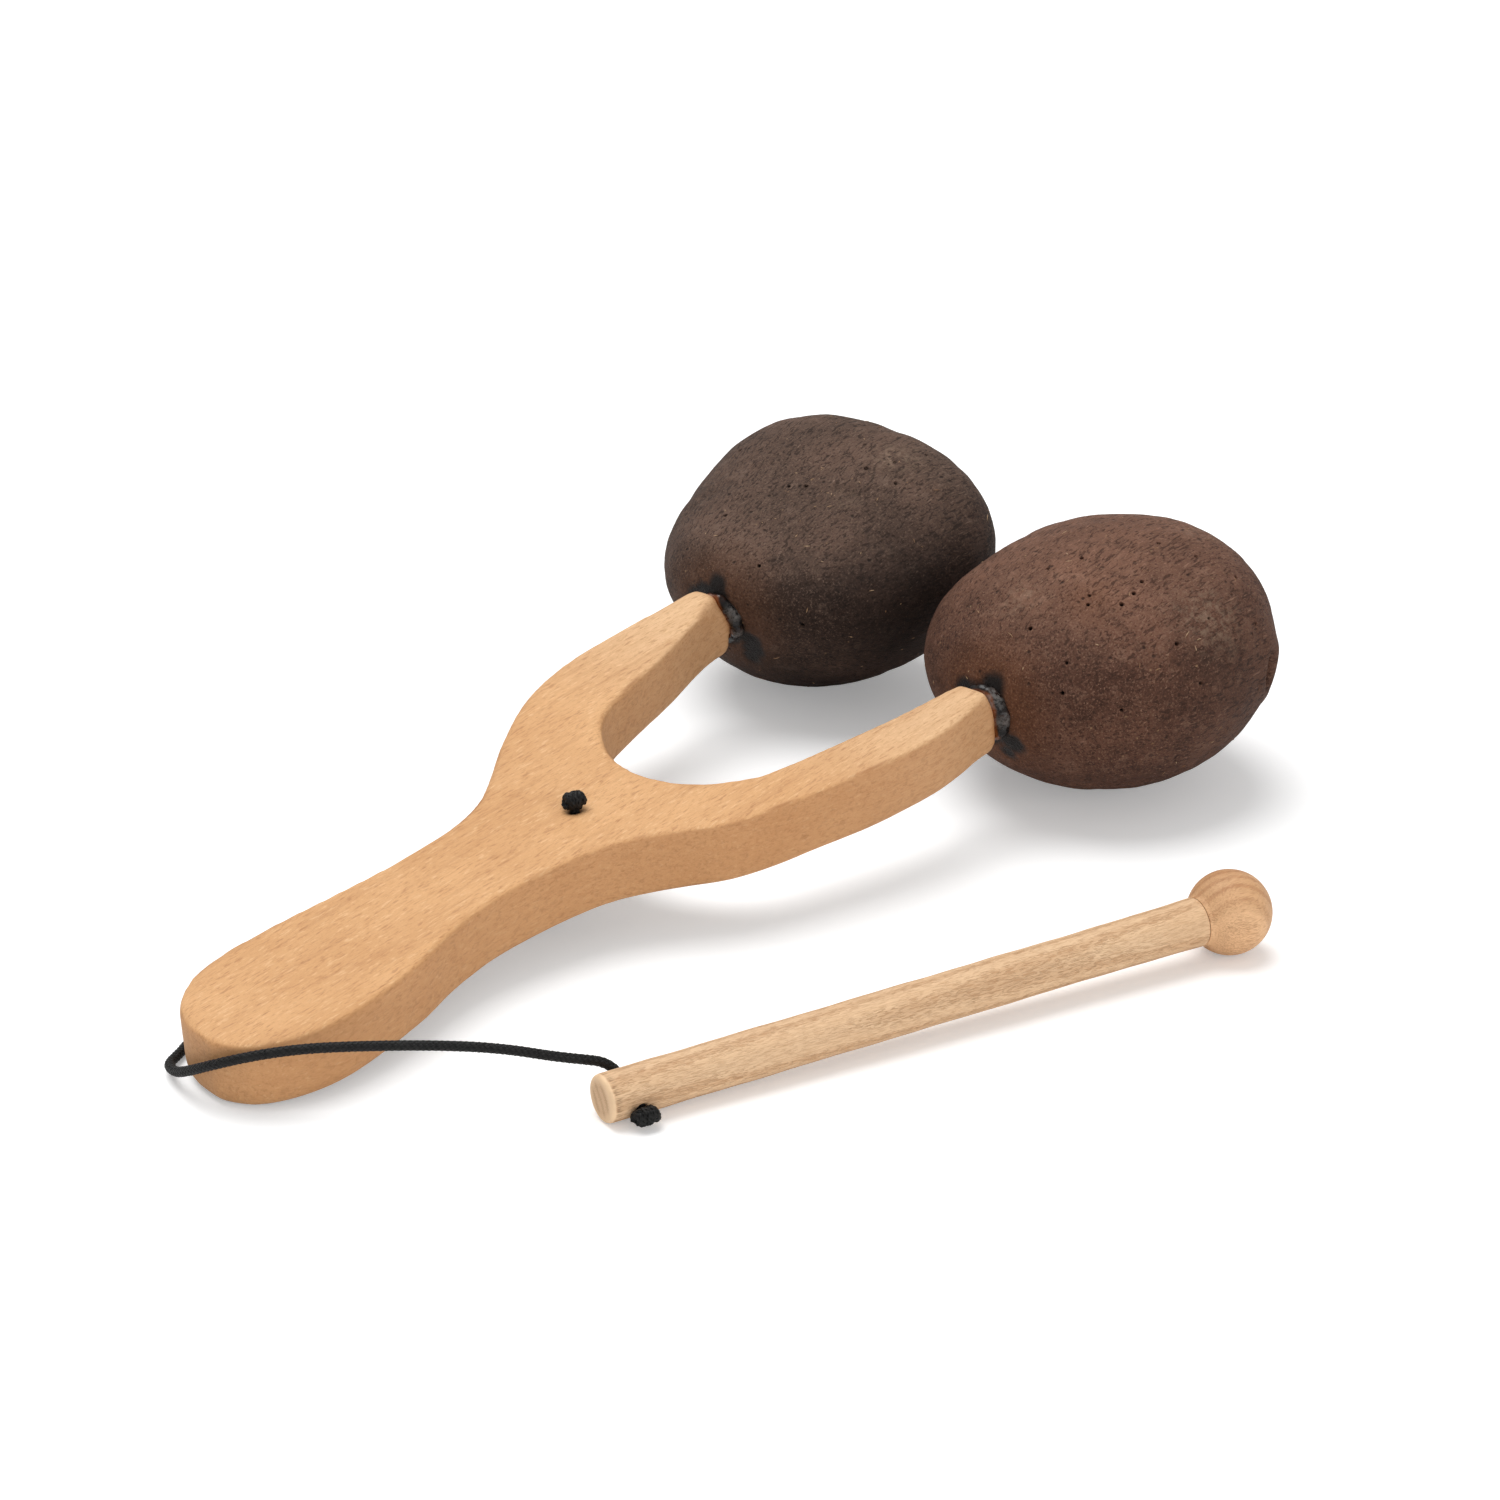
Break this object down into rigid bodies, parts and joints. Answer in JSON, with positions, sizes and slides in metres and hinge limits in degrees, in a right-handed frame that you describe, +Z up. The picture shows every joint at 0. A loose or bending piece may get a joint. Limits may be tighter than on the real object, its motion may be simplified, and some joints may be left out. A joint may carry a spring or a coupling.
{
  "type": "double nut shell percussion instrument with tethered beater",
  "caption": "Hand percussion instrument: forked wooden handle with hollow nut shells glued on its tines, and a ball-ended wooden beater tethered by a braided cord.",
  "frame": {"origin": "bottom centre of the bounding box, on the plane the instrument lies on", "axes": "+Z up from the rest plane; +Y from the butt of the handle to the shells; +X to the side where the beater lies"},
  "size_m": [0.2362, 0.3246, 0.0671],
  "materials": {
    "handle_wood": "sanded honey-tan hardwood, fine grain along the handle, bare or thinly oiled",
    "stick_wood": "turned pale hardwood with coarse open streaky grain",
    "ball_wood": "turned redder hardwood, smooth",
    "left_shell_skin": "matte grey-brown woody nut shell with fine fibres and pinholes",
    "right_shell_skin": "matte red-brown woody nut shell with fine fibres and pinholes",
    "glue": "glossy dark resin glue, frosted in places",
    "cord_braid": "black satin braid"
  },
  "bodies": {
    "handle": {"fork_handle": "handle_wood", "left_shell": "left_shell_skin", "right_shell": "right_shell_skin", "left_glue_collar": "glue", "right_glue_collar": "glue", "cord_under": "cord_braid"},
    "knot": {"handle_knot": "cord_braid"},
    "cord_side_link": {"cord_side": "cord_braid"},
    "cord_corner_link": {"cord_corner": "cord_braid"},
    "cord_front_link": {"cord_front": "cord_braid"},
    "cord_end_link": {"cord_end": "cord_braid"},
    "beater": {"beater_stick": "stick_wood", "beater_ball": "ball_wood", "beater_knot": "cord_braid"}
  },
  "joints": [
    {"name": "knot_draw", "type": "slide", "parent": "handle", "child": "knot", "axis": [0, -0.0955, 0.9954], "range_m": [0, 0.004]},
    {"name": "tether_swing", "type": "hinge", "parent": "handle", "child": "cord_side_link", "pos_m": [-0.05176, -0.1283, 0.0013], "axis": [0, 0, 1], "range_deg": [-90, 0]},
    {"name": "tether_fold", "type": "hinge", "parent": "cord_side_link", "child": "cord_corner_link", "pos_m": [-0.04056, -0.1555, 0.0026], "axis": [0, 0, 1], "range_deg": [-60, 0]},
    {"name": "tether_lift", "type": "hinge", "parent": "cord_corner_link", "child": "cord_front_link", "pos_m": [-0.01316, -0.1587, 0.0154], "axis": [0.5924, -0.8057, 0], "range_deg": [0, 75]},
    {"name": "tether_bend", "type": "hinge", "parent": "cord_front_link", "child": "cord_end_link", "pos_m": [0.03134, -0.1163, 0.016], "axis": [0, 0, 1], "range_deg": [-50, 12]},
    {"name": "beater_pivot", "type": "hinge", "parent": "cord_end_link", "child": "beater", "pos_m": [0.05267, -0.09983, 0.0062], "axis": [-0.8836, 0.3016, 0.3582], "continuous": true}
  ]
}
